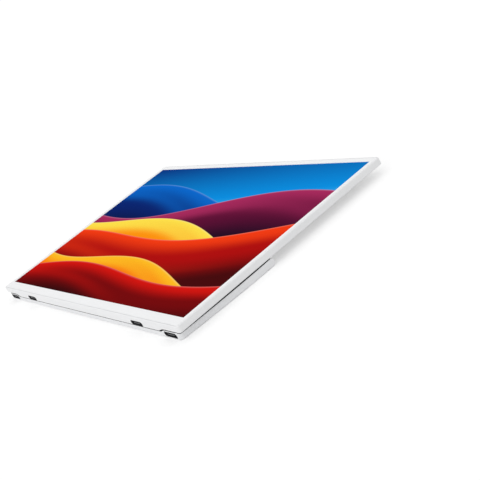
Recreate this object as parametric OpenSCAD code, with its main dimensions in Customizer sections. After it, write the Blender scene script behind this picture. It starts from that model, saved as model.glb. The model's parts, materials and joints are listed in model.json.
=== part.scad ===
// Portable monitor: a thin display slab on a rear housing block, with a kick
// stand plate that closes flush into the block and turns on a pin in each end
// of the block's rounded far edge.
//
// Frame: the origin lies under the centre of the slab, on the plane that the
// block's back rests on. +X runs along the socket edge, +Y from the socket
// edge towards the far edge, +Z out of the screen. Units are millimetres.

/* [Display slab] */
// Width of the slab
slab_w = 355; // [353:0.5:358]
// Depth of the slab, from the socket edge to the far edge
slab_d = 209.6; // [208:0.2:214]
// Thickness of the slab, from the bezel's face to the rear cover's face
slab_t = 5.7; // [5.5:0.1:5.7]
// Plan radius of the slab's corners
slab_corner_r = 2.5; // [2:0.1:4]
// Rounding of the slab's edges
edge_r = 0.4; // [0.4:0.1:1]
// Width of the picture area, a 15.6 inch 16:9 panel
screen_w = 344.2; // [342:0.2:345]
// Depth of the picture area
screen_d = 193.6; // [192:0.2:194]
// Offset of the picture area's centre towards the far edge
screen_shift = 2.1; // [1.5:0.1:2.5]
// How far the glass lies below the bezel's face
glass_recess = 0.5; // [0.4:0.1:0.8]

/* [Rear housing] */
// Overall thickness, from the block's back to the bezel's face
body_t = 13; // [13:0.1:13.6]
// Distance from the slab's centre line back to the block's far end
block_end = 14.5; // [13:0.5:18]
// Plan radius of the block's two near corners
block_corner_r = 4; // [3.6:0.1:4.4]
// Rounding of the block's back edges
block_edge_r = 1.2; // [0.8:0.1:1.4]
// Inset of the block's sides from the slab's sides at the near corners
block_inset_near = 5.3; // [5:0.1:5.5]
// Inset of the block's sides from the slab's sides at the far end
block_inset_far = 0.9; // [0.7:0.1:1.1]
// Wall thickness of the block
block_wall = 1.8; // [1.6:0.1:1.9]
// Height of the shadow gap between the block and the slab
seam_gap = 0.5; // [0.3:0.1:0.6]

/* [Sockets] */
// Distance of the inner pair of sockets from the middle
inner_socket_x = 109; // [106:0.2:112]
// Distance of the outer pair of sockets from the middle
outer_socket_x = 159.2; // [158:0.1:160]
// Width of a socket's opening
socket_w = 18.6; // [18:0.1:19.6]
// Height of a socket's opening
socket_h = 3.8; // [3.6:0.1:4.2]

/* [Kick stand] */
// Width of the cheek on each side of the stand plate, from the slab's side
cheek_w = 10.1; // [10.1:0.1:11]
// Distance from the socket edge to the gap at the stand plate's free end
strip_w = 10.1; // [10.1:0.1:12]
// Gap round the stand plate's free end
end_gap = 1.2; // [1:0.1:1.6]
// Thickness of the stand plate
stand_t = 1.85; // [1.6:0.05:1.85]
// How far the plate's lip reaches past the block's far end
lip_reach = 2.4; // [1.8:0.1:2.6]
// Radius of the stand's barrel
barrel_r = 3; // [2.8:0.1:3.1]
// Radius of the hinge pins
pin_r = 1.2; // [1:0.1:1.3]

/* [Hidden] */
$fn = 48;
eps = 0.01;
over = 1;

// Colours
shell_colour = [0.92, 0.92, 0.93];
stand_colour = [0.87, 0.87, 0.88];
steel = [0.72, 0.73, 0.75];
board_green = [0.1, 0.35, 0.22];

// Slab
half_w = slab_w / 2;
half_d = slab_d / 2;
slab_z = body_t - slab_t;
cover_t = 1.2;
cover_z = slab_z + cover_t;
bezel_wall = 1.7;
near_wall = 1.8;
fit = 0.1;
glass_z = body_t - glass_recess;
screen_near = screen_shift - screen_d / 2;
screen_far = screen_shift + screen_d / 2;

// Display module, a stack under the glass
tape_t = 0.2;
pan_t = 0.3;
reflector_t = 0.2;
films_t = 0.4;
cell_t = 1.2;
pan_z = cover_z + tape_t;
reflector_z = pan_z + pan_t;
guide_z = reflector_z + reflector_t;
cell_z = glass_z - cell_t;
films_z = cell_z - films_t;
module_half_w = half_w - bezel_wall - 0.9;
module_far = half_d - bezel_wall - 0.9;
module_near = screen_near - 3;
guide_margin = 1.2;
ledge = 6.3;

// Block
block_top = slab_z - seam_gap;
end_r = block_top / 2;
axis_y = -block_end - end_r;
axis_z = end_r;
near_x = half_w - block_inset_near - block_corner_r;
near_y = -half_d + block_corner_r;
far_x = half_w - block_inset_far;
taper_y = axis_y - 12;
side_y = [for (i = [0:5]) near_y + (taper_y - near_y) * i / 5];
floor_t = 1.2;
front_wall = 3.3;
skirt_z = block_top - 2;
step_in_x = 141.8;
step_out_x = 150.6;

// Pocket for the stand plate
stand_half_w = half_w - cheek_w;
pocket_half_w = stand_half_w + 0.8;
pocket_near = -half_d + strip_w - end_gap / 2;
pocket_z = 2.3;
pocket_floor_t = 1;
inner_z = pocket_z + pocket_floor_t;
bay_y = axis_y - barrel_r - 1.7;
rib = 1.2;
cheek_x = pocket_half_w + rib;
neck_inset = 1;
scoop_r = 6;
scoop_half_w = 9;

// Boards
board_t = 0.8;
board_z = slab_z - 1.7;
board_top = board_z + board_t;
board_near = -half_d + front_wall + 0.3;
boss_r = 2.4;
stub_r = 1.6;
stub_h = 0.8;
screw_r = 0.9;
screw_xy = [[-140, -84], [0, -84], [140, -84], [-140, -32], [0, -32], [140, -32]];

// Sockets: heights of their openings and bodies
inner_socket_z = slab_z - 0.1;
outer_socket_z = board_z - 2;
inner_body = [board_top, cover_z + 0.1];
outer_body = [board_z - 3, board_z];
socket_depth = 8;
socket_half_w = socket_w / 2 - 0.6;

// Keys, in the right-hand cheek of the block
key_x = cheek_x + 1.8;
key_pitch = 8.6;
key_first_y = axis_y - 28.5;
key_last_y = key_first_y - 2 * key_pitch;
key_w = 2.4;
key_l = 6;
key_flange = 1.5;
key_z = 0.35;

// Stand
stand_z = 0.15;
stand_end_y = -half_d + strip_w + end_gap / 2;
foot_t = 1.2;
lip_r = 0.85;
lip_y = -block_end + lip_reach - lip_r;
stand_top = stand_z + stand_t;
leaf_t = 0.9;
leaf_z = stand_top - leaf_t;
leaf_x = [stand_half_w - 17.4, stand_half_w - 1.4];
leaf_near = axis_y - 26;
sleeve_r = 1.85;

// Hinge parts beyond the plate's side, from the cheek's inner face outwards
eye_x = [cheek_x + 1, cheek_x + 3.2];
washer_pitch = 0.45;
head_x = [cheek_x + 4.65, cheek_x + 5.15];
foot_screw_y = [axis_y - 16, axis_y - 9];
foot_screw_x = cheek_x + 2.4;
leaf_screw_x = [leaf_x[0] + 4, leaf_x[1] - 4];
leaf_screw_y = axis_y - 20;

// ---------- helpers ----------

// Box between two opposite corners
module box(x, y, z) {
    translate([x[0], y[0], z[0]]) cube([x[1] - x[0], y[1] - y[0], z[1] - z[0]]);
}

// The same shape on the left and the right
module both_sides() {
    children();
    mirror([1, 0, 0]) children();
}

// Cylinder along X between two x positions, centred on y and z
module rod_x(r, x, y, z) {
    translate([x[0], y, z]) rotate([0, 90, 0]) cylinder(r = r, h = x[1] - x[0]);
}

// Quarter arc of a section, from angle a0 to a0 + 90
function arc(cx, cy, r, a0) = [for (i = [0:4]) [cx + r * cos(a0 + i * 22.5), cy + r * sin(a0 + i * 22.5)]];

// Disc with rounded rims, used at the corners of a rounded slab
module puck(r, z, r_bottom, r_top) {
    bottom = r_bottom > 0 ? arc(r - r_bottom, z[0] + r_bottom, r_bottom, -90) : [[r, z[0]]];
    top = r_top > 0 ? arc(r - r_top, z[1] - r_top, r_top, 0) : [[r, z[1]]];
    rotate_extrude($fn = 32) polygon(concat([[0, z[0]]], bottom, top, [[0, z[1]]]));
}

// Slab with the display slab's plan, between two heights
module slab_solid(z, r_bottom, r_top) {
    hull() for (sx = [-1, 1], sy = [-1, 1])
        translate([sx * (half_w - slab_corner_r), sy * (half_d - slab_corner_r), 0])
            puck(slab_corner_r, z, r_bottom, r_top);
}

// Half width of the block at y: its sides curve in towards the near corners
function side_x(y) = far_x - (block_inset_near - block_inset_far)
    * pow(max(0, (taper_y - y) / (taper_y - near_y)), 1.5);

// Plan of the block, drawn in by an inset
module block_plan(inset) {
    r = block_corner_r - inset;
    right = [for (y = concat(side_y, [axis_y])) [side_x(y) - inset, y]];
    left = [for (i = [len(right) - 1:-1:0]) [-right[i][0], right[i][1]]];
    polygon(concat([[near_x, near_y - r]], right, left, [[-near_x, near_y - r]]));
    for (s = [-1, 1]) translate([s * near_x, near_y]) circle(r = r);
}

// Stadium outline in the XZ plane, extruded along +Y
module slot_y(w, h, y, x, z) {
    translate([x, y[1], z]) rotate([90, 0, 0]) linear_extrude(y[1] - y[0]) {
        square([w - h, h], center = true);
        for (s = [-1, 1]) translate([s * (w - h) / 2, 0]) circle(d = h);
    }
}

// Prism along Y whose XZ section is the stepped seam: narrow below, wide above
module skirt_prism(y, z_low, z_high, grow) {
    translate([0, y[1], 0]) rotate([90, 0, 0]) linear_extrude(y[1] - y[0])
        polygon([[-step_in_x - grow, z_low], [step_in_x + grow, z_low],
            [step_out_x + grow, slab_z], [step_out_x + grow, z_high],
            [-step_out_x - grow, z_high], [-step_out_x - grow, slab_z]]);
}

// ---------- display slab ----------

// Frame round the screen, with the slab's side walls and the skirt that
// carries the inner pair of sockets
module front_bezel() color(shell_colour) difference() {
    union() {
        slab_solid([cover_z, body_t], 0, edge_r);
        skirt_prism([-half_d, -half_d + near_wall], skirt_z + seam_gap, cover_z + eps, 0);
    }
    box([bezel_wall - half_w, half_w - bezel_wall], [near_wall - half_d, half_d - bezel_wall],
        [cover_z - over, glass_z]);
    box([-screen_w / 2, screen_w / 2], [screen_near, screen_far], [glass_z - eps, body_t + over]);
    both_sides() slot_y(socket_w, socket_h, [-half_d - over, near_wall - half_d + over],
        inner_socket_x, inner_socket_z);
}

// Liquid crystal cell: two glass sheets with their polarisers
module display_cell() color([0.05, 0.06, 0.08])
    box([-module_half_w, module_half_w], [screen_near - ledge, module_far], [cell_z, glass_z]);

// Diffuser and prism films
module film_stack() color([0.95, 0.95, 0.97])
    box([1 - module_half_w, module_half_w - 1], [screen_near - guide_margin, module_far - 1],
        [films_z, cell_z]);

// Edge-lit acrylic light guide
module light_guide() color([0.85, 0.93, 0.98])
    box([3 - module_half_w, module_half_w - 3], [screen_near - guide_margin, module_far - 3],
        [guide_z, films_z]);

// White sheet behind the light guide
module reflector_sheet() color([0.98, 0.98, 0.98])
    box([1 - module_half_w, module_half_w - 1], [screen_near - guide_margin, module_far - 1],
        [reflector_z, guide_z]);

// White plastic frame round the light guide
module mould_frame() color([0.9, 0.9, 0.9]) difference() {
    box([0.6 - module_half_w, module_half_w - 0.6], [module_near + 2, module_far - 0.6],
        [guide_z, films_z]);
    box([2.8 - module_half_w, module_half_w - 2.8], [module_near, module_far - 2.8],
        [guide_z - over, films_z + over]);
}

// Strip of light-emitting diodes along the light guide's near edge
module led_strip() color([0.95, 0.9, 0.6]) {
    box([10 - module_half_w, module_half_w - 10], [module_near + pan_t, module_near + 2 * pan_t],
        [guide_z, films_z]);
    for (x = [-150:15:150])
        box([x - 1.9, x + 1.9], [module_near + 2 * pan_t - eps, screen_near - guide_margin],
            [guide_z + 0.2, films_z - 0.2]);
}

// Shallow aluminium pan that carries the backlight
module back_pan() color([0.75, 0.76, 0.78]) difference() {
    box([-module_half_w, module_half_w], [module_near, module_far], [pan_z, films_z]);
    box([pan_t - module_half_w, module_half_w - pan_t], [module_near + pan_t, module_far - pan_t],
        [reflector_z, films_z + over]);
}

// Adhesive strips between the pan and the rear cover
module module_tapes() color([0.2, 0.2, 0.22])
    for (s = [-1, 1], far = [0, 1])
        box(s > 0 ? [20, 160] : [-160, -20], far ? [module_far - 8, module_far - 2] : [-60, -54],
            [cover_z, pan_z]);

// Timing board under the cell's ledge
module timing_board() color(board_green)
    box([-88, 88], [-half_d + near_wall + 0.7, module_near - 1.7], [cover_z, cover_z + board_t]);

// ---------- rear cover ----------

// Back of the slab, notched for the inner sockets and slotted for the ribbon
module rear_cover() color(shell_colour) difference() {
    slab_solid([slab_z, cover_z], edge_r, 0);
    skirt_prism([-half_d - over, -half_d + near_wall + fit], skirt_z, cover_z + over, fit);
    both_sides() box([inner_socket_x - socket_half_w - 0.2, inner_socket_x + socket_half_w + 0.2],
        [-half_d, -half_d + socket_depth + 0.6], [slab_z - over, cover_z + over]);
    box([18, 46], [module_near - 1.6, module_near - 0.2], [slab_z - over, cover_z + over]);
    for (p = screw_xy) translate([p[0], p[1], slab_z - over]) cylinder(r = stub_r, h = stub_h + over);
}

// Six threaded standoffs pressed into the rear cover, one for each housing screw
module standoffs() color(steel)
    for (p = screw_xy) translate([p[0], p[1], inner_z]) difference() {
        union() {
            cylinder(r = boss_r, h = slab_z - inner_z);
            cylinder(r = stub_r - 0.02, h = slab_z - inner_z + stub_h - 0.02);
        }
        translate([0, 0, -over]) cylinder(r = screw_r, h = slab_z - inner_z + over);
    }

// ---------- rear housing ----------

// Outer form of the block: curved sides, rounded near corners, full-round far end
module block_solid() {
    hull() {
        for (s = [-1, 1], y = side_y) translate([s * (side_x(y) - block_corner_r), y, 0])
            puck(block_corner_r, [0, block_top], block_edge_r, 0);
        translate([0, axis_y, axis_z]) rotate([0, 90, 0])
            puck(end_r, [-far_x, far_x], block_edge_r, block_edge_r);
    }
    translate([0, 0, block_top - eps]) linear_extrude(slab_z - block_top + eps) block_plan(neck_inset);
}

// Space inside the block for the boards and the hinge brackets
module block_cavity() {
    difference() {
        translate([0, 0, floor_t]) linear_extrude(slab_z) block_plan(block_wall);
        box([-half_w, half_w], [-half_d - over, -half_d + front_wall], [0, slab_z + over]);
        box([-cheek_x, cheek_x], [pocket_near - rib, 0], [0, inner_z]);
        box([-cheek_x, cheek_x], [bay_y - rib, 0], [0, slab_z + over]);
        box([-scoop_half_w - scoop_r, scoop_half_w + scoop_r], [-half_d, pocket_near], [0, pocket_z]);
        for (y = [key_first_y + key_l, key_last_y - key_l])
            box([pocket_half_w, half_w], [y - 1, y + 1], [0, 4]);
    }
    both_sides() rod_x(end_r - 1, [cheek_x, far_x - block_wall], axis_y, axis_z);
}

// Shell of the block, with the pocket and the bay that take the stand
module housing_shell() color(shell_colour) difference() {
    block_solid();
    block_cavity();
    box([-pocket_half_w, pocket_half_w], [pocket_near, 0], [-over, pocket_z]);
    box([-pocket_half_w, pocket_half_w], [bay_y, 0], [-over, slab_z + over]);
    skirt_prism([-half_d - over, -half_d + near_wall + fit], skirt_z, slab_z + over, seam_gap);
    translate([0, 0, 1.4 - scoop_r]) {
        rod_x(scoop_r, [-scoop_half_w, scoop_half_w], pocket_near, 0);
        for (s = [-1, 1]) translate([s * scoop_half_w, pocket_near, 0]) sphere(r = scoop_r);
    }
    both_sides() {
        slot_y(socket_w, socket_h, [-half_d - over, -half_d + front_wall + over],
            outer_socket_x, outer_socket_z);
        box([inner_socket_x - socket_half_w - 0.2, inner_socket_x + socket_half_w + 0.2],
            [-half_d, -half_d + front_wall + over], [board_top - fit, slab_z + over]);
        rod_x(pin_r + 0.1, [pocket_half_w - over, cheek_x + over], axis_y, axis_z);
    }
    for (i = [0:2]) translate([key_x, key_first_y - i * key_pitch, 0])
        box([-key_w / 2 - 0.2, key_w / 2 + 0.2], [-key_l / 2 - 0.2, key_l / 2 + 0.2],
            [-over, floor_t + over]);
    for (p = screw_xy) translate([p[0], p[1], pocket_z - over]) {
        cylinder(r = screw_r + 0.1, h = pocket_floor_t + 2 * over);
        cylinder(r = 2, h = 0.6 + over);
    }
}

// Six screws that join the housing shell to the rear cover, heads in the pocket
module housing_screws() color(steel)
    for (p = screw_xy) translate([p[0], p[1], pocket_z]) difference() {
        union() {
            cylinder(r = 1.8, h = 0.6);
            cylinder(r = screw_r - 0.02, h = 4.2);
        }
        translate([0, 0, -eps]) cylinder(r = 0.7, h = 0.4, $fn = 6);
    }

// Steel plate on the pocket's floor, which stiffens it and weights the block
module stiffener_plate() color(steel) difference() {
    box([-150, 150], [-88, bay_y - rib - 0.6], [inner_z, inner_z + 1]);
    for (p = screw_xy) translate([p[0], p[1], 0]) cylinder(r = boss_r + 0.4, h = slab_z);
}

// ---------- electronics ----------

// Main board, wide at the socket edge and narrow further in
module main_board() color(board_green) difference() {
    union() {
        box([-128, 128], [board_near, -60], [board_z, board_top]);
        box([-near_x - 0.6, near_x + 0.6], [board_near, -91], [board_z, board_top]);
    }
    translate([0, -84, 0]) cylinder(r = boss_r + 0.3, h = slab_z);
}

// Chips and coils on both faces of the main board
module board_chips() color([0.12, 0.12, 0.13]) {
    box([-62, -48], [-84, -70], [board_z - 1, board_z]);
    box([-100, -90], [-82, -72], [board_z - 1.2, board_z]);
    box([-118, -108], [-80, -70], [board_z - 1.2, board_z]);
    box([34, 44], [-86, -76], [board_z - 0.9, board_z]);
    box([70, 82], [-82, -70], [board_z - 1.2, board_z]);
    box([-20, -6], [-78, -66], [board_z - 0.8, board_z]);
    for (x = [-84:6:-66]) box([x - 1.5, x + 1.5], [-94, -91], [board_top, board_top + 0.7]);
}

// Sheet-metal can over the display processor
module chip_shield() color(steel) difference() {
    box([-26, 0], [-79.6, -62], [board_z - 1.2, board_z]);
    box([-25.7, -0.3], [-79.3, -62.3], [board_z - 0.9, board_z + over]);
}

// Connector for the display ribbon
module ribbon_connector() color([0.9, 0.88, 0.8])
    box([20, 44], [module_near - 3.2, module_near + 0.6], [board_top, slab_z - 0.2]);

// Flat ribbon from the timing board down to the main board
module display_ribbon() color([0.85, 0.83, 0.75])
    translate([21, 0, 0]) rotate([90, 0, 90]) linear_extrude(22)
        polygon([[module_near - 4, cover_z + board_t], [module_near - 1.2, cover_z + board_t],
            [module_near - 1.2, slab_z - 0.2], [module_near - 0.9, slab_z - 0.2],
            [module_near - 0.9, cover_z + board_t + 0.3], [module_near - 4, cover_z + board_t + 0.3]]);

// Socket: a stadium collar that fills the wall's opening, and a flat body behind
module socket_body(x, z, body, wall) color([0.06, 0.06, 0.065]) difference() {
    intersection() {
        union() {
            slot_y(socket_w - 0.2, socket_h - 0.2, [-half_d, -half_d + wall + 0.05], x, z);
            box([x - socket_half_w, x + socket_half_w],
                [-half_d + wall + 0.04, -half_d + socket_depth], body);
        }
        linear_extrude(body_t) block_plan(0.15);
    }
    slot_y(socket_w - 2, socket_h - 1.2, [-half_d - over, -half_d + wall - 0.2], x, z);
    box([x - socket_half_w + 0.8, x + socket_half_w - 0.8], [-half_d, -half_d + socket_depth - 0.8],
        [z - 0.65, z + 0.65]);
}

// Tongue of a socket, with its root on the socket's back wall
module socket_tongue(x, z) color([0.3, 0.3, 0.31])
    box([x - 5.2, x + 5.2], [-half_d + 1, -half_d + socket_depth - 0.8], [z - 0.4, z + 0.4]);

module socket_outer_left() socket_body(-outer_socket_x, outer_socket_z, outer_body, front_wall);
module socket_inner_left() socket_body(-inner_socket_x, inner_socket_z, inner_body, near_wall);
module socket_inner_right() socket_body(inner_socket_x, inner_socket_z, inner_body, near_wall);
module socket_outer_right() socket_body(outer_socket_x, outer_socket_z, outer_body, front_wall);
module tongue_outer_left() socket_tongue(-outer_socket_x, outer_socket_z);
module tongue_inner_left() socket_tongue(-inner_socket_x, inner_socket_z);
module tongue_inner_right() socket_tongue(inner_socket_x, inner_socket_z);
module tongue_outer_right() socket_tongue(outer_socket_x, outer_socket_z);

// ---------- keys ----------

// Small board across the two ribs in the right-hand cheek
module key_board() color(board_green)
    box([key_x - key_flange, key_x + key_flange],
        [key_last_y - key_l - 1, key_first_y + key_l + 1], [4, 4.8]);

// Three switches under the key board, each with a stem towards its key
module key_switches() color([0.15, 0.15, 0.16])
    for (i = [0:2]) translate([key_x, key_first_y - i * key_pitch, 0]) {
        box([-1.3, 1.3], [-1.8, 1.8], [2.95, 4]);
        translate([0, 0, 2.5]) cylinder(r = 0.8, h = 0.5);
    }

// Key cap with the flange that keeps it in the housing
module key_cap(i) color([0.8, 0.8, 0.81]) translate([key_x, key_first_y - i * key_pitch, 0]) {
    box([-key_w / 2, key_w / 2], [-key_l / 2, key_l / 2], [key_z, floor_t + 0.1 + eps]);
    box([-key_flange, key_flange], [-key_l / 2 - 0.8, key_l / 2 + 0.8],
        [floor_t + 0.1, floor_t + 0.7]);
}

module power_key() key_cap(0);
module plus_key() key_cap(1);
module minus_key() key_cap(2);

// ---------- kick stand ----------

// Steel bracket in the cheek: a foot on the cheek's floor and an eye round the pin
module bracket() color(steel) difference() {
    union() {
        box([cheek_x + 0.2, cheek_x + 4.6], [axis_y - 20, axis_y - 2.4], [floor_t, floor_t + 0.8]);
        rod_x(2.2, eye_x, axis_y, axis_z);
        box(eye_x, [axis_y - 2.6, axis_y], [floor_t, axis_z]);
    }
    rod_x(pin_r + 0.05, [cheek_x, half_w], axis_y, axis_z);
    for (y = foot_screw_y) translate([foot_screw_x, y, 0]) cylinder(r = 0.75, h = slab_z);
}

module bracket_left() mirror([1, 0, 0]) bracket();
module bracket_right() bracket();

// Screws that hold the brackets, two on each side
module bracket_screws() color([0.5, 0.5, 0.52])
    both_sides() for (y = foot_screw_y) translate([foot_screw_x, y, floor_t]) {
        cylinder(r = 0.7, h = 0.8 + eps);
        translate([0, 0, 0.8]) cylinder(r = 1.3, h = 0.6);
    }

// Steel pin that turns with the stand, headed beyond the washers
module hinge_pin() color([0.6, 0.61, 0.63]) {
    rod_x(pin_r, [leaf_x[0] + 1, head_x[1]], axis_y, axis_z);
    rod_x(2.1, head_x, axis_y, axis_z);
}

module hinge_pin_left() mirror([1, 0, 0]) hinge_pin();
module hinge_pin_right() hinge_pin();

// Three disc springs between the bracket's eye and the pin's head
module friction_washers() color([0.45, 0.43, 0.4])
    for (x = [eye_x[1] + 0.1:washer_pitch:head_x[0] - 0.4]) difference() {
        rod_x(2, [x, x + 0.4], axis_y, axis_z);
        rod_x(pin_r + 0.05, [x - over, x + over], axis_y, axis_z);
    }

module friction_washers_left() mirror([1, 0, 0]) friction_washers();
module friction_washers_right() friction_washers();

// Leaf let into the stand plate, with the sleeve that grips the pin
module leaf_form(grow) {
    x = [leaf_x[0] - grow, leaf_x[1] + grow];
    box(x, [leaf_near - grow, axis_y], [leaf_z - grow, stand_top + (grow > 0 ? over : 0)]);
    box(x, [axis_y - sleeve_r - grow, axis_y], [leaf_z - grow, axis_z]);
    rod_x(sleeve_r + grow, x, axis_y, axis_z);
}

module hinge_leaf() color(steel) difference() {
    leaf_form(0);
    rod_x(pin_r, [leaf_x[0] - over, leaf_x[1] + over], axis_y, axis_z);
    for (x = leaf_screw_x) translate([x, leaf_screw_y, 0]) cylinder(r = 0.8, h = slab_z);
}

module hinge_leaf_left() mirror([1, 0, 0]) hinge_leaf();
module hinge_leaf_right() hinge_leaf();

// Flat screws that hold the leaves
module leaf_screws() color([0.5, 0.5, 0.52])
    both_sides() for (x = leaf_screw_x) translate([x, leaf_screw_y, leaf_z - 0.5])
        cylinder(r = 0.78, h = leaf_t + 0.4);

// Plate with its barrel and the lip beyond it
module stand_plate() color(stand_colour) difference() {
    translate([-stand_half_w, 0, 0]) rotate([90, 0, 90]) linear_extrude(2 * stand_half_w) {
        polygon([[stand_end_y + foot_t, stand_z], [lip_y, stand_z], [lip_y, stand_z + 2 * lip_r],
            [axis_y + 2, axis_z - 0.6], [axis_y, axis_z], [axis_y - 2, stand_top],
            [stand_end_y + foot_t, stand_top]]);
        translate([axis_y, axis_z]) circle(r = barrel_r);
        translate([lip_y, stand_z + lip_r]) circle(r = lip_r);
    }
    both_sides() {
        leaf_form(0.05);
        box([leaf_x[0] - 0.05, leaf_x[1] + 0.05], [axis_y - barrel_r - 0.2, axis_y], [leaf_z, axis_z]);
        rod_x(pin_r + 0.05, [leaf_x[0], stand_half_w + over], axis_y, axis_z);
        for (x = leaf_screw_x) translate([x, leaf_screw_y, leaf_z - 0.5])
            cylinder(r = 0.8, h = stand_t);
    }
}

// Rubber strip on the plate's free end
module stand_foot() color([0.2, 0.2, 0.21])
    box([-150, 150], [stand_end_y, stand_end_y + foot_t], [stand_z + 0.1, stand_top - 0.1]);

front_bezel();
display_cell();
film_stack();
light_guide();
reflector_sheet();
mould_frame();
led_strip();
back_pan();
module_tapes();
timing_board();
rear_cover();
standoffs();
housing_shell();
housing_screws();
stiffener_plate();
main_board();
board_chips();
chip_shield();
ribbon_connector();
display_ribbon();
socket_outer_left();
socket_inner_left();
socket_inner_right();
socket_outer_right();
tongue_outer_left();
tongue_inner_left();
tongue_inner_right();
tongue_outer_right();
key_board();
key_switches();
power_key();
plus_key();
minus_key();
bracket_left();
bracket_right();
bracket_screws();
hinge_pin_left();
hinge_pin_right();
friction_washers_left();
friction_washers_right();
hinge_leaf_left();
hinge_leaf_right();
leaf_screws();
stand_plate();
stand_foot();
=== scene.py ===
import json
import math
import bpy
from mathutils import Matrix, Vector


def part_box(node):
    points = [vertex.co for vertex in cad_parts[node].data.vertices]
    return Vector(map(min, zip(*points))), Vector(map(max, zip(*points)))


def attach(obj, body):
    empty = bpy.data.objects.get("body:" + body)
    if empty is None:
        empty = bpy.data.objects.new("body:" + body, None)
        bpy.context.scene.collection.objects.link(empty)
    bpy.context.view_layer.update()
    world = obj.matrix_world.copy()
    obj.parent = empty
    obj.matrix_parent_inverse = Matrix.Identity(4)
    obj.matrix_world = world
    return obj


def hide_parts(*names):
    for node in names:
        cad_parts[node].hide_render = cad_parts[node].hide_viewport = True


bl_info = {
    "name": "Portable Monitor Finish",
    "version": (1, 0, 0),
    "blender": (4, 5, 0),
    "location": "View3D > Sidebar > Monitor",
    "description": "Surfaces and finishes of a portable monitor with a fold-out kick stand",
    "category": "Object",
}

import bmesh
import bpy
import numpy as np
from mathutils import Vector

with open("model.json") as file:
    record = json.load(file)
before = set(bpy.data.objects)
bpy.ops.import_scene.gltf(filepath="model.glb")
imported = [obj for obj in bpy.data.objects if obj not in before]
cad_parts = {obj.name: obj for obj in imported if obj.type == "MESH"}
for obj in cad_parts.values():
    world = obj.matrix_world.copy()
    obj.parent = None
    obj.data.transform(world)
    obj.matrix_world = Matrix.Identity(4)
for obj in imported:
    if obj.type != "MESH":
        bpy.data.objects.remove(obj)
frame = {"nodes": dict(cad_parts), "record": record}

MM = 0.001
CAMERA_PLACE = (0.81005, -0.32789, 0.27516)
CAMERA_TURN = (68.0183, 28.8194, 53.8165)
CREASE = math.radians(32)


def node_box(name):
    """Lowest and highest corner of a solid of the frame, in millimetres."""
    low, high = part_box(name)
    return np.array(low) / MM, np.array(high) / MM


def slot_colour(slot):
    """The record's base colour of a material slot."""
    return next(tuple(m["base_color"][:3]) for m in frame["record"]["materials"] if m["slot"] == slot)


# Every size from here on is in millimetres.
BEZEL_LOW, BEZEL_HIGH = node_box("front_bezel")
COVER_LOW, COVER_HIGH = node_box("rear_cover")
BLOCK_HIGH = node_box("housing_shell")[1]
PLATE_LOW, PLATE_HIGH = node_box("stand_plate")
CELL_LOW, CELL_HIGH = node_box("display_cell")

# How far a cutter reaches past what it cuts, and how far two cutters that join overlap
OVER, LAP = 1.0, 0.1
# Smallest gap between two surfaces, and how near two roundings come to a full half circle
HAIR, FULL_ROUND, SLOT_ROUND = 0.02, 0.99, 0.999

# Slab: its near face, the screen's hole and how far off centre it is, the height of the cover's top,
# the height that parts the bezel's stepped foot from its rounded face, its wall and its groove
NEAR = -BEZEL_HIGH[1]
SCREEN_HALF_W, SCREEN_HALF_D, SCREEN_SHIFT = 172.1, 96.8, 2.1
COVER_TOP, WAIST, BEZEL_WALL = 8.5, 10.5, 1.7
GROOVE_IN, GROOVE_WIDE, GROOVE_DEEP = 0.62, 0.42, 0.9

# Seam under the slab, the bezel's skirt that steps down at the socket edge, from its outer to its
# inner place, and how far outside the skirt's step the block's own step is
SEAM_TOP, SEAM_GAP = COVER_LOW[2], 0.5
SKIRT_LOW = BEZEL_LOW[2]
SKIRT_IN, SKIRT_OUT, SKIRT_WALL, STEP_LAG = 141.8, 150.6, 1.8, 2.4

# Block: its height, its rounded end and the axis in it, its corners, the taper of its sides, how far
# its shoulder drops along the sides, from which y to which, and where the drop starts round a corner
BLOCK_TOP = SEAM_TOP - SEAM_GAP
END_RADIUS = BLOCK_TOP / 2
AXIS_Y, AXIS_Z = BLOCK_HIGH[1] - END_RADIUS, END_RADIUS
CORNER_X, CORNER_R, FAR_CORNER_R = 168.2, 4.0, 0.7
FAR_HALF, TAPER, TAPER_Y = 176.6, 4.4, -29.9
SIDE_DROP, SIDE_FALL, FALL_FROM, FALL_TO = 0.5, 1.3, -20.0, -100.0
DROP_FROM, DROP_TO = 169.4, 172.0

# Block's walls, the inset of the neck that reaches the slab, and half the space behind the near wall
BLOCK_FLOOR, BLOCK_WALL, RIB, NECK_IN, SPACE_HALF = 1.2, 1.8, 1.2, 1.0, 166.0
# Pocket for the stand's plate, the bay for its barrel, and a y past the block's end
POCKET_W, POCKET_NEAR, POCKET_CEILING, POCKET_ROOF = 168.2, -95.3, 2.3, 1.0
BAY_NEAR, PAST_END = AXIS_Y - 4.7, 30.0
# Cheeks: inner face, near end, and the two ribs that hold the key board, as four y and a height
CHEEK, CHEEK_NEAR, KEY_RIBS, KEY_RIB_TOP = 169.4, -94.0, (-70.6, -68.6, -41.4, -39.4), 4.0
# Space round the hinge parts in each cheek, the bore for their pin, and the finger scoop
EYE_SPACE_R, EYE_SPACE_X, PIN_BORE_R = 2.4, 174.8, 1.3
SCOOP_R, SCOOP_HALF, SCOOP_DEEP = 6.0, 9.0, 1.4

# Screws: places, radii of the head, shank, seat, bore and bush, lengths, and the hexagon's recess
SCREWS = [(x, y) for x in (-140.0, 0.0, 140.0) for y in (-84.0, -32.0)]
HEAD_R, SHANK_R, SEAT_R, BORE_R, BUSH_R = 1.8, 0.88, 2.0, 1.0, 1.6
HEAD_LONG, SCREW_LONG, BORE_TOP, BUSH_DEEP = 0.6, 4.2, 4.5, 0.8
HEX_R, HEX_DEEP = 0.75, 0.4

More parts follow.
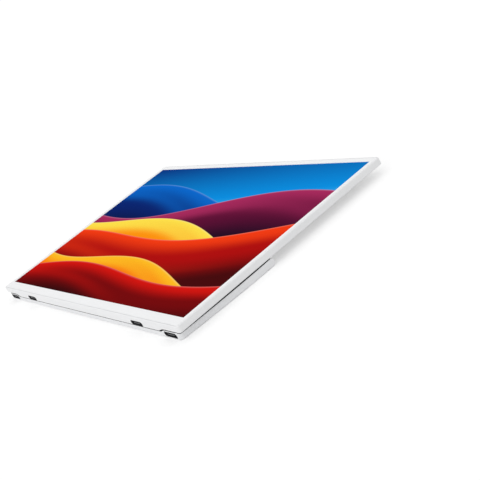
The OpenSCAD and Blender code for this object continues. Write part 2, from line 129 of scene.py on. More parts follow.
# Sockets: x and z of the opening, thickness of its wall, lowest and highest z of the body behind
SOCKETS = {
    "outer_left": (-159.2, 3.6, 3.3, 2.6, 5.6),
    "inner_left": (-109.0, 7.2, 1.8, 6.4, 8.6),
    "inner_right": (109.0, 7.2, 1.8, 6.4, 8.6),
    "outer_right": (159.2, 3.6, 3.3, 2.6, 5.6),
}
OPENING_W, OPENING_H, RIM = 18.6, 3.8, 0.3
# Depth, half width and end wall of a socket's body, the space in it, its tongue, and the ribbon's slot
SOCKET_DEEP, SOCKET_HALF, SOCKET_END = 8.0, 9.0, 0.8
HOLE_HALF_W, HOLE_HALF_H, TONGUE_HALF_W, TONGUE_HALF_H = 8.2, 0.65, 5.2, 0.45
RIBBON_SLOT = (18, 46), (-99.3, -97.9)

# Keys: the body of each, its cap's half sizes and top, and the length, width and depth of its marks
KEYS = {"power_key": "power", "plus_key": "plus", "minus_key": "minus"}
KEY_HALF_W, KEY_HALF_L, KEY_SHELF = 1.2, 3.0, 1.3
MARK_LONG, MARK_WIDE, MARK_DEEP = 1.3, 0.24, 0.14

# Stand: top of its plate, radii of its barrel and lip, and of the holes for sleeve, pin and screws
STAND_TOP, BARREL_R, LIP_R = 2.0, 3.0, 0.85
SLEEVE_R, PIN_R, LEAF_SCREW_R, LEAF_FIT = 1.9, 1.25, 0.8, 0.05
LEAF_SCREW_X, LEAF_SCREW_Y = (4.0, 12.0), AXIS_Y - 20


# ---------- surfaces ----------

PLANES = {"xy": (0, 1, 2), "xz": (0, 2, 1), "yz": (1, 2, 0)}


def rounded_polygon(corners, radii, steps=8):
    """Anticlockwise outline and its outward directions. Each corner becomes the arc of its radius that
    touches both of its edges: the arc's centre is on the corner's bisector, at the radius divided by the
    sine of half the corner's angle, and the arc runs between the directions square to the two edges."""
    c = np.asarray(corners, float)
    r = np.asarray(radii, float)[:, None]
    back = np.roll(c, 1, 0) - c
    ahead = np.roll(c, -1, 0) - c
    back /= np.linalg.norm(back, axis=1)[:, None]
    ahead /= np.linalg.norm(ahead, axis=1)[:, None]
    middle = back + ahead
    middle /= np.linalg.norm(middle, axis=1)[:, None]
    sine = np.sqrt(np.clip(1 - (back * middle).sum(1) ** 2, 1e-9, 1))[:, None]
    centre = c + middle * r / sine
    start = np.arctan2(back[:, 0], -back[:, 1])
    end = np.arctan2(-ahead[:, 0], ahead[:, 1])
    sweep = (end - start + np.pi) % (2 * np.pi) - np.pi
    angle = start[:, None] + sweep[:, None] * np.linspace(0, 1, steps + 1)
    out = np.stack([np.cos(angle), np.sin(angle)], -1)
    points = centre[:, None] + np.sign(sweep)[:, None, None] * r[:, None] * out
    return points.reshape(-1, 2), out.reshape(-1, 2)


def rectangle(x, y, radius=0.05, steps=4):
    """Outline of a rectangle between two x and two y, with its corners rounded."""
    corners = [[x[0], y[0]], [x[1], y[0]], [x[1], y[1]], [x[0], y[1]]]
    return rounded_polygon(corners, [radius] * 4, steps)


def centred(centre, half_w, half_h, radius=0.05, steps=4):
    """Outline of a rectangle round a centre, with its corners rounded."""
    x, y = centre
    return rectangle((x - half_w, x + half_w), (y - half_h, y + half_h), radius, steps)


def stadium(width, height, centre, steps=16):
    """Outline of a slot with round ends, a rectangle whose corner radii are half its shorter side."""
    return centred(centre, width / 2, height / 2, min(width, height) / 2 * SLOT_ROUND, steps)


def circle(count):
    """Directions spaced evenly round a circle."""
    angle = np.linspace(0, 2 * np.pi, count, endpoint=False)
    return np.stack([np.cos(angle), np.sin(angle)], 1)


def with_stations(outline, steps, xs):
    """The outline with extra points at the given x along its first straight edge."""
    points, out = outline
    level = np.full(len(xs), points[steps, 1])
    extra = np.stack([np.asarray(xs, float), level], 1)
    down = np.tile([0.0, -1.0], (len(xs), 1))
    return np.insert(points, steps + 1, extra, 0), np.insert(out, steps + 1, down, 0)


def ring(points, height, plane="xy"):
    """An outline's points lifted to a height square to its plane."""
    i, j, k = PLANES[plane]
    out = np.empty((len(points), 3))
    out[:, i], out[:, j], out[:, k] = points[:, 0], points[:, 1], height
    return out


def stacked(rings, closed=False):
    """Surface through rings of equal length: point (row, column) is joined to its neighbours in both
    directions. A closed one meets itself after the last ring, and any other gets two end caps."""
    grid = np.asarray(rings)
    rows, cols = grid.shape[:2]
    r = np.arange(rows if closed else rows - 1)[:, None]
    c = np.arange(cols)[None, :]
    r1, c1 = (r + 1) % rows, (c + 1) % cols
    quads = np.stack([r * cols + c, r * cols + c1, r1 * cols + c1, r1 * cols + c], -1).reshape(-1, 4)
    faces = quads.tolist()
    if not closed:
        faces += [np.arange(cols)[::-1].tolist(), ((rows - 1) * cols + np.arange(cols)).tolist()]
    return grid.reshape(-1, 3), faces


def edge_rings(outline, radius, face, way, plane="xy", steps=6, hole=False):
    """Rings of a rounded edge from its face to its wall, a quarter circle. At the face they are drawn
    in along the outward directions by the radius, or out at a hole, and they meet the outline where
    the wall starts, the radius further along the way. With no radius there is the face's ring alone."""
    points, out = outline
    if not radius:
        return [ring(points, face, plane)]
    angle = np.linspace(0, np.pi / 2, steps + 1)[::-1]
    inset, rise = radius * (1 - np.cos(angle)), radius * np.sin(angle)
    side = out if hole else -out
    return [ring(points + side * i, face + way * radius - way * r, plane) for i, r in zip(inset, rise)]


def pillow(outline, low, high, r_low, r_high, plane="xy", steps=6):
    """Solid between two heights, with its two rims rounded by quarter circles."""
    rings = edge_rings(outline, r_low, low, 1, plane, steps)
    return stacked(rings + edge_rings(outline, r_high, high, -1, plane, steps)[::-1])


def prism(outline, low, high, plane="xy"):
    """Outline carried straight from one height to the other."""
    return pillow(outline, low, high, 0, 0, plane)


def rod(radius, low, high, centre, plane="yz", rim=0.0):
    """Round bar, with rounded rims if they have a radius."""
    out = circle(48)
    return pillow((np.array(centre) + radius * out, out), low, high, rim, rim, plane, 4)


def opening(outline, mouth, end, plane="xy", flare=0.2):
    """Cutter that starts outside a mouth and widens there by a quarter circle, so that the wall round
    the hole gets a rounded edge. The mouth may have a height of its own at each point."""
    points, out = outline
    way = np.sign(end - np.mean(mouth))
    rings = [ring(points + out * flare, mouth - way, plane)]
    rings += edge_rings(outline, flare, mouth, way, plane, 4, hole=True)
    return stacked(rings + [ring(points, end, plane)])


# ---------- pieces ----------


def new_mesh(name, surfaces):
    """Mesh object of one or more surfaces given in millimetres, with its doubles merged."""
    verts, faces, count = [], [], 0
    for points, polygons in surfaces:
        verts.append(points * MM)
        faces += [[i + count for i in polygon] for polygon in polygons]
        count += len(points)
    mesh = bpy.data.meshes.new(name)
    mesh.from_pydata(np.concatenate(verts).tolist(), [], faces)
    bm = bmesh.new()
    bm.from_mesh(mesh)
    bmesh.ops.remove_doubles(bm, verts=bm.verts, dist=1e-6)
    bmesh.ops.dissolve_degenerate(bm, edges=bm.edges, dist=1e-7)
    bmesh.ops.recalc_face_normals(bm, faces=bm.faces)
    bm.to_mesh(mesh)
    bm.free()
    obj = bpy.data.objects.new(name, mesh)
    bpy.context.scene.collection.objects.link(obj)
    return obj


def cut(obj, surfaces):
    """Takes the volume of each closed surface out of obj."""
    cutters = [new_mesh(f"cutter_{i}", [s]) for i, s in enumerate(surfaces)]
    for cutter in cutters:
        step = obj.modifiers.new("cut", "BOOLEAN")
        step.operation, step.solver, step.object = "DIFFERENCE", "EXACT", cutter
    graph = bpy.context.evaluated_depsgraph_get()
    result = bpy.data.meshes.new_from_object(obj.evaluated_get(graph))
    obj.modifiers.clear()
    obj.data = result
    for cutter in cutters:
        bpy.data.objects.remove(cutter)


def piece(name, surfaces, body, slot, replaces, cutters=()):
    """A finished piece: its surfaces, cut, smoothed up to the crease angle and set to ride on a body."""
    obj = new_mesh(name, surfaces)
    if cutters:
        cut(obj, cutters)
    mesh = obj.data
    mesh.name = name
    mesh.materials.clear()
    mesh.materials.append(finish(slot))
    mesh.shade_smooth()
    mesh.set_sharp_from_angle(angle=CREASE)
    weigh = obj.modifiers.new("flat faces lead", "WEIGHTED_NORMAL")
    weigh.keep_sharp = True
    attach(obj, body)
    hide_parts(replaces)
    return obj


def dress(*nodes):
    """Gives solids of the frame the finish of their slot."""
    slots = {part["node"]: part["material_slot"] for part in frame["record"]["subparts"]}
    for name in nodes:
        solid = frame["nodes"][name]
        solid.data.materials.clear()
        solid.data.materials.append(finish(slots[name]))


# ---------- materials ----------

WHITE, BLACK = (1.0, 1.0, 1.0, 1.0), (0.0, 0.0, 0.0, 1.0)
# The first of these blacks is painted shade for the block's seam gap and stand pocket; the second is
# painted shade on the tongue behind its front
GAP_PAINTED_SHADE, TONGUE_PAINTED_SHADE = (0.02, 0.02, 0.022, 1.0), (0.01, 0.01, 0.011, 1.0)
GLASS_BLACK = (0.004, 0.004, 0.005, 1.0)
PAD_GOLD, DOT_WHITE = (0.55, 0.42, 0.16, 1.0), (0.95, 0.95, 0.95, 1.0)
SHADER_SOCKETS = {
    "colour": "Base Color", "roughness": "Roughness", "metallic": "Metallic", "coat": "Coat Weight",
    "coat_roughness": "Coat Roughness", "specular": "Specular IOR Level", "normal": "Normal",
    "glow": "Emission Color", "glow_strength": "Emission Strength", "sheen": "Sheen Weight",
    "clear": "Transmission Weight", "ior": "IOR",
}


def linear(r, g, b):
    """Screen colour from 0 to 255 as scene-linear values."""
    c = np.array([r, g, b]) / 255
    return tuple(np.where(c <= 0.04045, c / 12.92, ((c + 0.055) / 1.055) ** 2.4)) + (1.0,)


def shade(colour, factor):
    """A colour made lighter or darker."""
    return tuple(min(1.0, c * factor) for c in colour[:3]) + (1.0,)


class Finish:
    """A material's nodes. Its patterns read the piece's own place in millimetres."""

    def __init__(self, name):
        self.material = bpy.data.materials.new(name)
        self.material.use_nodes = True
        self.tree = self.material.node_tree
        self.shader = self.tree.nodes["Principled BSDF"]
        place = self.node("TexCoord").outputs["Object"]
        self.mm = self.node("VectorMath", {0: place, "Scale": 1 / MM}, operation="SCALE").outputs[0]

    def put(self, socket, value):
        """Sets a socket to a number or colour, or links it to another node's output."""
        if isinstance(value, bpy.types.NodeSocket):
            self.tree.links.new(value, socket)
        else:
            socket.default_value = value

    def node(self, kind, inputs=None, **settings):
        """A shader node of a kind, with its settings. Its inputs are numbers or other nodes' outputs."""
        made = self.tree.nodes.new(f"ShaderNode{kind}")
        for key, value in settings.items():
            setattr(made, key, value)
        for key, value in (inputs or {}).items():
            self.put(made.inputs[key], value)
        return made

    def axes(self):
        """The place's x, y and z."""
        return self.node("SeparateXYZ", {0: self.mm}).outputs

    def math(self, operation, a, b=0.0, clamp=False):
        """One step of arithmetic."""
        return self.node("Math", {0: a, 1: b}, operation=operation, use_clamp=clamp).outputs[0]

    def add(self, a, b, clamp=False):
        return self.math("ADD", a, b, clamp)

    def times(self, a, b):
        return self.math("MULTIPLY", a, b)

    def span(self, value, low, high, start=0.0, end=1.0, kind="LINEAR"):
        """The value carried from start..end to low..high."""
        inputs = {0: value, 1: start, 2: end, 3: low, 4: high}
        return self.node("MapRange", inputs, interpolation_type=kind).outputs[0]

    def share(self, value, start, end):
        """How far the value has come from start to end, from 0 to 1."""
        return self.span(value, 0.0, 1.0, start, end)

    def mix(self, share, a, b):
        """Colour a, and colour b where the share is one."""
        return self.node("Mix", {0: share, 6: a, 7: b}, data_type="RGBA").outputs[2]

    def vary(self, pattern, start, end, colour, low, high):
        """The colour times low where the pattern is at start, and times high where it is at end."""
        return self.mix(self.share(pattern, start, end), shade(colour, low), shade(colour, high))

    def noise(self, scale, detail=3.0, stretch=None):
        """Cloudy pattern: the scale says how many clouds go to the millimetre, and the stretch has a
        factor for it along each axis."""
        place = self.mm
        if stretch:
            place = self.node("VectorMath", {0: place, 1: stretch}, operation="MULTIPLY").outputs[0]
        inputs = {"Vector": place, "Scale": scale, "Detail": detail}
        return self.node("TexNoise", inputs).outputs["Fac"]

    def bands(self, scale):
        """Stripes square to x, as a sine wave."""
        inputs = {"Vector": self.mm, "Scale": scale, "Distortion": 0.0}
        return self.node("TexWave", inputs, bands_direction="X").outputs["Fac"]

    def scatter(self, scale):
        """Distance to the nearest of many scattered points."""
        return self.node("TexVoronoi", {"Vector": self.mm, "Scale": scale}).outputs["Distance"]

    def bricks(self, scale, width, height, joint, **settings):
        """Courses of bricks: one in the joints between them, nothing on them."""
        inputs = {"Vector": self.mm, "Scale": scale, "Brick Width": width, "Row Height": height,
                  "Mortar Size": joint}
        return self.node("TexBrick", inputs, **settings).outputs["Fac"]

    def ramp(self, share, colours, ease=False):
        """Colours along a ramp, from stops with screen colours. The first two are its ends."""
        made = self.node("ValToRGB", {0: share})
        if ease:
            made.color_ramp.interpolation = "EASE"
        for end, (stop, colour) in zip(made.color_ramp.elements, colours):
            end.position, end.color = stop, linear(*colour)
        for stop, colour in colours[2:]:
            made.color_ramp.elements.new(stop).color = linear(*colour)
        return made.outputs[0]

    def set(self, **sockets):
        """Numbers, colours or links on the shader's own sockets."""
        for key, value in sockets.items():
            self.put(self.shader.inputs[SHADER_SOCKETS[key]], value)
        return self

    def bump(self, height, depth_mm, strength):
        """Fine relief in the surface's shading."""
        inputs = {"Height": height, "Distance": depth_mm * MM, "Strength": strength}
        return self.set(normal=self.node("Bump", inputs).outputs["Normal"])


def sprayed(name, colour, roughness, coat):
    """Sprayed satin paint: a fine grain, a slow drift of its tone and faint handling marks in its gloss."""
    f = Finish(name)
    drift = f.noise(0.03, 2.0)
    grain = f.noise(3.0, 4.0)
    speck = f.noise(9.0, 2.0)
    tone = f.vary(drift, 0.3, 0.7, colour, 0.985, 1.01)
    tone = f.mix(f.span(speck, 0.0, 0.06, 0.55, 0.75), tone, shade(colour, 0.9))
    gloss = f.add(f.span(grain, -0.03, 0.03), f.span(drift, roughness - 0.03, roughness + 0.03))
    f.set(colour=tone, roughness=gloss, coat=coat, coat_roughness=0.25)
    return f.bump(f.add(grain, f.times(speck, 0.4)), 0.006, 0.5), tone


def sprayed_finish(*paint):
    """The sprayed paint alone."""
    return sprayed(*paint)[0].material


def block_finish_and_painted_shade(*paint):
    """The sprayed paint of the block, with painted shade: black in the seam's gap above its shoulder and
    black inside the pocket behind the stand, where shade falls."""
    f, tone = sprayed(*paint)
    x, y, z = f.axes()
    across = f.math("ABSOLUTE", x)
    skirt = f.span(across, SKIRT_LOW - SEAM_GAP - 0.06, BLOCK_TOP - 0.06, SKIRT_IN + STEP_LAG,
                   SKIRT_OUT + STEP_LAG, "SMOOTHSTEP")
    corner = f.span(across, 0.0, 1.0, DROP_FROM, DROP_TO, "SMOOTHSTEP")
    side = f.span(y, SIDE_DROP, SIDE_DROP + SIDE_FALL, FALL_FROM, FALL_TO)
    # painted shade: black over the seam's gap above the shoulder, where the slab's overhang shades it
    gap = f.math("GREATER_THAN", z, f.math("SUBTRACT", skirt, f.times(corner, side)))
    # painted shade: black inside the pocket behind the stand
    inside = f.math("LESS_THAN", across, POCKET_W + LAP)
    inside = f.times(inside, f.math("GREATER_THAN", y, POCKET_NEAR - LAP))
    black = f.add(gap, f.times(inside, f.math("GREATER_THAN", z, 0.12)), clamp=True)
    return f.set(colour=f.mix(black, tone, GAP_PAINTED_SHADE)).material


def moulded_finish(name, colour, roughness, grain_scale=4.0, depth=0.012, specular=0.5):
    """Moulded plastic: a spark-eroded grain, with the tone a little lighter on its peaks."""
    f = Finish(name)
    grain = f.noise(grain_scale, 4.0)
    gloss = f.span(f.noise(0.15, 2.0), roughness - 0.06, roughness + 0.06)
    f.set(colour=f.vary(grain, 0.35, 0.65, colour, 0.85, 1.15), roughness=gloss, specular=specular)
    return f.bump(grain, depth, 0.6).material


def brushed_finish(name, colour, roughness):
    """Brushed or rolled metal: long scratches along x, which vary both its tone and its gloss."""
    f = Finish(name)
    lines = f.noise(1.0, 5.0, (0.04, 6.0, 6.0))
    tone = f.vary(lines, 0.3, 0.7, colour, 0.82, 1.08)
    tone = f.mix(f.span(f.noise(0.08), 0.0, 0.3, 0.4, 0.8), tone, shade(colour, 0.75))
    f.set(colour=tone, roughness=f.span(lines, roughness - 0.08, roughness + 0.1), metallic=1.0)
    return f.bump(lines, 0.004, 0.5).material


def board_finish(name, colour):
    """Circuit board: solder mask over fine parallel tracks, with pads and holes in a jittered pattern."""
    f = Finish(name)
    tracks = f.bricks(0.35, 1.7, 0.32, 0.06, offset=0.37, squash=1.4)
    tone = f.mix(tracks, shade(colour, 1.0), shade(colour, 1.7))
    tone = f.mix(f.span(f.scatter(0.55), 1.0, 0.0, 0.1, 0.14), tone, PAD_GOLD)
    f.set(colour=tone, roughness=f.span(f.noise(1.2), 0.28, 0.42), coat=0.3)
    return f.bump(tracks, 0.03, 0.5).material


SKY = ((0.0, (70, 205, 250)), (1.0, (0, 48, 128)), (0.42, (70, 205, 250)), (0.62, (0, 142, 224)))
# Ranges of dunes: level, slope, swell, waves, phase, depth, folds, then colours from the crest down
DUNES = (
    (0.80, -0.14, 0.080, 0.75, 0.10, 0.40, 26, (0, 104, 205), (0, 34, 112), (4, 4, 38)),
    (0.60, 0.16, 0.070, 0.85, 0.55, 0.34, 22, (168, 40, 92), (92, 8, 50), (30, 2, 30)),
    (0.58, -0.20, 0.085, 0.80, 0.85, 0.34, 30, (255, 226, 72), (255, 146, 0), (206, 60, 0)),
    (0.38, 0.20, 0.075, 0.70, 0.30, 0.32, 24, (244, 58, 8), (176, 6, 2), (70, 0, 0)),
    (0.31, -0.16, 0.060, 1.00, 0.70, 0.26, 34, (255, 190, 30), (252, 112, 0), (188, 34, 0)),
    (0.14, 0.08, 0.055, 0.85, 0.05, 0.24, 28, (214, 16, 4), (118, 0, 0), (34, 0, 0)),
)
DOT_PITCH, DOT_GAP = 0.179, 0.012


def picture_finish(name, brightness):
    """Lit picture: ranges of long silky dunes, one behind the other. Each range fills what lies below its
    crest, a sine along the width on a slope, and darkens away from the crest. Soft folds follow the
    crest as the cube of a sine of the depth below it, and a pale line runs along the crest itself."""
    f = Finish(name)
    x, y, _ = f.axes()
    across = f.share(x, -SCREEN_HALF_W, SCREEN_HALF_W)
    up = f.share(y, SCREEN_SHIFT - SCREEN_HALF_D, SCREEN_SHIFT + SCREEN_HALF_D)
    tone = f.ramp(f.add(up, f.times(across, -0.22)), SKY)
    for level, slope, swell, waves, phase, depth, folds, light, middle, dark in DUNES:
        turn = f.add(f.times(across, 2 * np.pi * waves), 2 * np.pi * phase)
        hills = f.times(f.math("SINE", turn), swell)
        crest = f.add(hills, f.add(f.times(across, slope), level))
        below = f.math("SUBTRACT", crest, up)
        share = f.math("DIVIDE", below, depth, clamp=True)
        body = f.ramp(share, ((0.0, light), (1.0, dark), (0.4, middle)), ease=True)
        wave = f.math("SUBTRACT", f.times(below, folds), f.times(turn, 0.9))
        fold = f.math("POWER", f.share(f.math("SINE", wave), -1.0, 1.0), 3.0)
        fold = f.times(fold, f.span(share, 0.75, 0.0, 0.0, 0.8))
        body = f.mix(fold, body, linear(*light))
        pale = linear(*[(c + 255) / 2 for c in light])
        body = f.mix(f.math("POWER", f.span(below, 0.75, 0.0, 0.0, 0.012), 2.0), body, pale)
        tone = f.mix(f.share(below, -0.0015, 0.0015), tone, body)
    cells = f.bricks(1.0, DOT_PITCH, DOT_PITCH, DOT_GAP, offset=0.0)
    tone = f.mix(f.times(cells, 0.12), tone, BLACK)
    f.set(colour=GLASS_BLACK, roughness=0.32, specular=0.0, glow=tone, glow_strength=brightness)
    return f.material


def tongue_finish_and_painted_shade(name, colour):
    """Dark plastic with a row of thin contact strips across the tongue. Behind its front it is painted
    black, as painted shade inside the socket.
    """
    f = Finish(name)
    metal = f.share(f.bands(0.62), 0.62, 0.7)
    tone = f.vary(f.noise(5.0, 4.0), 0.35, 0.65, colour, 0.85, 1.15)
    tone = f.mix(f.times(metal, 0.5), tone, shade(colour, 1.6))
    # painted shade: the tongue turns black behind its front, where the socket shades it
    tone = f.mix(f.share(f.axes()[1], NEAR + 0.45, NEAR + 0.7), tone, TONGUE_PAINTED_SHADE)
    f.set(colour=tone, roughness=f.span(metal, 0.55, 0.4), specular=0.2)
    return f.bump(metal, 0.02, 0.5).material


def clear_finish(name, colour):
    """Clear acrylic with a printed dot pattern that sends the light out."""
    f = Finish(name)
    tone = f.mix(f.span(f.scatter(0.9), 0.8, 0.0, 0.2, 0.3), shade(colour, 1.0), DOT_WHITE)
    return f.set(colour=tone, roughness=f.span(f.noise(0.5), 0.05, 0.12), clear=0.6, ior=1.49).material


def sheet_finish(name, colour, roughness):
    """Thin plastic film or white sheet: a soft weave of its surface and a slight drift of tone."""
    f = Finish(name)
    weave = f.noise(1.0, 3.0, (3.0, 0.6, 3.0))
    gloss = f.span(f.noise(0.2), roughness - 0.08, roughness + 0.08)
    f.set(colour=f.vary(weave, 0.3, 0.7, colour, 0.95, 1.02), roughness=gloss)
    return f.bump(weave, 0.01, 0.4).material


def ribbon_finish(name, colour):
    """Flat cable: parallel tinned tracks under a clear film."""
    f = Finish(name)
    tracks = f.bands(0.6)
    tone = f.mix(tracks, shade(colour, 0.7), shade(colour, 1.1))
    f.set(colour=tone, roughness=f.span(f.noise(0.6), 0.3, 0.45))
    return f.bump(tracks, 0.02, 0.5).material


def rubber_finish(name, colour):
    """Soft rubber with fine moulded ribs across it and a dusty bloom."""
    f = Finish(name)
    dust = f.noise(0.6, 4.0)
    f.set(colour=f.vary(dust, 0.35, 0.75, colour, 0.9, 1.8), roughness=f.span(dust, 0.7, 0.85), sheen=0.15)
    return f.bump(f.bands(1.1), 0.02, 0.4).material


FINISHES = {
    "shell": (sprayed_finish, 0.42, 0.15),
    "housing": (block_finish_and_painted_shade, 0.46, 0.1),
    "stand": (sprayed_finish, 0.3, 0.2),
    "screen": (picture_finish,),
    "socket": (moulded_finish, 0.6, 4.0, 0.012, 0.12),
    "tongue": (tongue_finish_and_painted_shade,),
    "key": (moulded_finish, 0.4, 6.0, 0.006),
    "foot": (rubber_finish,),
    "white_film": (sheet_finish, 0.6),
    "acrylic": (clear_finish,),
    "led": (moulded_finish, 0.5),
    "pan": (brushed_finish, 0.4),
    "tape": (sheet_finish, 0.8),
    "circuit_board": (board_finish,),
    "chip": (moulded_finish, 0.6, 3.0),
    "steel": (brushed_finish, 0.35),
    "connector": (ribbon_finish,),
}


def finish(slot):
    """The material of a slot, made the first time that it is asked for. Its colour, or the picture's
    brightness, is the setting named for the slot, and otherwise the record's."""
    name = f"{slot}_finish"
    made = bpy.data.materials.get(name)
    if made:
        return made
    maker, *values = FINISHES[slot]
    colours = bpy.context.scene.monitor_colours
    return maker(name, getattr(colours, slot) if hasattr(colours, slot) else slot_colour(slot), *values)


# ---------- settings ----------

PAINT = {"subtype": "COLOR", "size": 3, "min": 0, "max": 1}


class MonitorColours(bpy.types.PropertyGroup):
    """Colours of the parts that a user would repaint."""

    shell: bpy.props.FloatVectorProperty(
        name="Shell", description="Paint of the bezel and the rear cover",
        default=slot_colour("shell"), **PAINT)
    housing: bpy.props.FloatVectorProperty(
        name="Housing", description="Paint of the rear block", default=slot_colour("housing"), **PAINT)
    stand: bpy.props.FloatVectorProperty(
        name="Stand", description="Paint of the kick stand plate", default=slot_colour("stand"), **PAINT)
    socket: bpy.props.FloatVectorProperty(
        name="Sockets", description="Plastic of the socket collars", default=slot_colour("socket"), **PAINT)
    tongue: bpy.props.FloatVectorProperty(
        name="Tongues", description="Plastic of the socket tongues", default=slot_colour("tongue"), **PAINT)
    key: bpy.props.FloatVectorProperty(
        name="Keys", description="Plastic of the keys", default=slot_colour("key"), **PAINT)
    foot: bpy.props.FloatVectorProperty(
        name="Foot", description="Rubber of the stand's foot", default=slot_colour("foot"), **PAINT)
    screen: bpy.props.FloatProperty(
        name="Picture brightness", description="Glow of the lit picture", min=0, max=4, default=1.0)


class MonitorSizes(bpy.types.PropertyGroup):
    """Roundings that a user would change."""

    edge: bpy.props.FloatProperty(
        name="Slab edge", description="Rounding of the slab's edges",
        unit="LENGTH", min=0.0002, max=0.0006, default=0.00055)
    corner: bpy.props.FloatProperty(
        name="Slab corner", description="Plan radius of the slab's corners",
        unit="LENGTH", min=0.002, max=0.004, default=0.0025)
    lip: bpy.props.FloatProperty(
        name="Screen lip", description="Rounding of the bezel's edge round the screen",
        unit="LENGTH", min=0.00005, max=0.0004, default=0.00035)
    block_edge: bpy.props.FloatProperty(
        name="Block edge", description="Rounding of the block's lower edges",
        unit="LENGTH", min=0.0004, max=0.0014, default=0.0012)
    mouth: bpy.props.FloatProperty(
        name="Socket mouth", description="Rounding of the wall round each socket",
        unit="LENGTH", min=0.00005, max=0.0004, default=0.0001)


class MonitorStage(bpy.types.PropertyGroup):
    """Floor, light and camera."""

    floor_size: bpy.props.FloatProperty(
        name="Floor", description="Side of the square floor", unit="LENGTH", min=2, max=40, default=16)
    floor_tone: bpy.props.FloatProperty(
        name="Floor tone", description="Share of the light that the floor gives back",
        min=0, max=1, default=0.6)
    floor_lift: bpy.props.FloatProperty(
        name="Floor lift", description="Glow of the floor as it is seen", min=0, max=1, default=0.45)
    sky: bpy.props.FloatProperty(
        name="Room light", description="Strength of the even room light", min=0, max=4, default=0.95)
    key: bpy.props.FloatProperty(
        name="Key light", description="Strength of the broad low light from the socket edge's side",
        min=0, max=10, default=0.68)
    key_spread: bpy.props.FloatProperty(
        name="Key spread", description="How wide the key light looks from the object",
        subtype="ANGLE", min=0, max=3, default=0.8)
    lens: bpy.props.FloatProperty(
        name="Lens", description="Focal length", unit="CAMERA", min=20, max=200, default=79.526)


# ---------- operators ----------


def skirt_drop(x):
    """How far the seam drops below its side level at x: nothing beyond the outer step, the whole step
    inside the inner one, and half a cosine wave between them."""
    share = np.clip((SKIRT_OUT - np.abs(x)) / (SKIRT_OUT - SKIRT_IN), 0, 1)
    return (SEAM_TOP - SKIRT_LOW) * (1 - np.cos(np.pi * share)) / 2


def step_stations():
    """Stations along the socket edge, close together where the seam steps."""
    eased = np.linspace(SKIRT_IN, SKIRT_OUT, 13)
    return np.concatenate([-eased[::-1], eased])


class MONITOR_OT_bezel(bpy.types.Operator):
    """Make the bezel: a ring round the screen with a skirt at the socket edge"""

    bl_idname = "monitor.bezel"
    bl_label = "Bezel"

    def execute(self, context):
        sizes = context.scene.monitor_sizes
        w, d, top = BEZEL_HIGH
        steps = 10
        end = SKIRT_OUT + HAIR
        xs = np.concatenate([[-end], step_stations(), [end]])

        def plan(x, y, radius):
            return with_stations(rectangle(x, y, radius, steps), steps, xs)

        outer = plan((-w, w), (-d, d), sizes.corner / MM)
        wall = plan((BEZEL_WALL - w, w - BEZEL_WALL), (SKIRT_WALL - d, d - BEZEL_WALL), 0.8)[0]
        screen_y = (SCREEN_SHIFT - SCREEN_HALF_D, SCREEN_SHIFT + SCREEN_HALF_D)
        hole = plan((-SCREEN_HALF_W, SCREEN_HALF_W), screen_y, 0.2)
        points, out = outer
        foot = np.full(len(points), COVER_TOP)
        on_skirt = slice(steps + 2, steps + len(xs))
        foot[on_skirt] = SEAM_TOP - skirt_drop(points[on_skirt, 0])
        seat = CELL_HIGH[2] + 0.01
        slant = 0.02
        groove = ((0, 0), (slant, GROOVE_DEEP), (GROOVE_WIDE - slant, GROOVE_DEEP), (GROOVE_WIDE, 0))

        rings = [ring(points, foot), ring(points, WAIST)]
        rings += edge_rings(outer, sizes.edge / MM, top, -1, steps=8)[::-1]
        rings += [ring(points - out * (GROOVE_IN + i), top - z) for i, z in groove]
        rings += edge_rings(hole, sizes.lip / MM, top, -1, steps=4, hole=True)
        rings += [ring(hole[0], seat), ring(wall, seat), ring(wall, WAIST), ring(wall, foot)]
        holes = [socket_opening(name, sizes.mouth / MM) for name in ("inner_left", "inner_right")]
        piece("bezel_frame", [stacked(rings, closed=True)], "body", "shell", "front_bezel", holes)
        return {"FINISHED"}


class MONITOR_OT_rear_cover(bpy.types.Operator):
    """Make the slab's back, with rounded lower edges and room for the skirt"""

    bl_idname = "monitor.rear_cover"
    bl_label = "Rear cover"

    def execute(self, context):
        sizes = context.scene.monitor_sizes
        w, d = COVER_HIGH[:2]
        outline = centred((0, 0), w, d, sizes.corner / MM, 10)
        rings = edge_rings(outline, sizes.edge / MM, SEAM_TOP, 1, steps=8) + [ring(outline[0], COVER_TOP)]
        end = SKIRT_OUT + 0.03
        room = [((-end, end), (-d - OVER, -d + SKIRT_WALL + LAP))]
        for side in ("left", "right"):
            low, high = node_box(f"socket_inner_{side}")
            room.append(((low[0] - 0.2, high[0] + 0.2), (-d, high[1] + 0.6)))
        room.append(RIBBON_SLOT)
        cutters = [prism(rectangle(x, y), SEAM_TOP - OVER, COVER_TOP + OVER) for x, y in room]
        cutters += [rod(BUSH_R, SEAM_TOP - OVER, SEAM_TOP + BUSH_DEEP, xy, "xy") for xy in SCREWS]
        piece("rear_cover_shell", [stacked(rings)], "body", "shell", "rear_cover", cutters)
        return {"FINISHED"}


class MONITOR_OT_screen(bpy.types.Operator):
    """Make the screen's glass with its lit picture"""

    bl_idname = "monitor.screen"
    bl_label = "Screen"

    def execute(self, context):
        outline = rectangle(*zip(CELL_LOW[:2], CELL_HIGH[:2]), 0.5)
        glass = pillow(outline, CELL_LOW[2], CELL_HIGH[2], 0.1, 0.1)
        piece("screen_glass", [glass], "body", "screen", "display_cell")
        return {"FINISHED"}


def side_half(y):
    """Half width of the block at y: constant at the far end, and drawn in towards the near corners by
    the taper times the power 1.5 of the way there."""
    way = np.clip((TAPER_Y - y) / (TAPER_Y - NEAR - CORNER_R), 0, 1)
    return FAR_HALF - TAPER * way**1.5


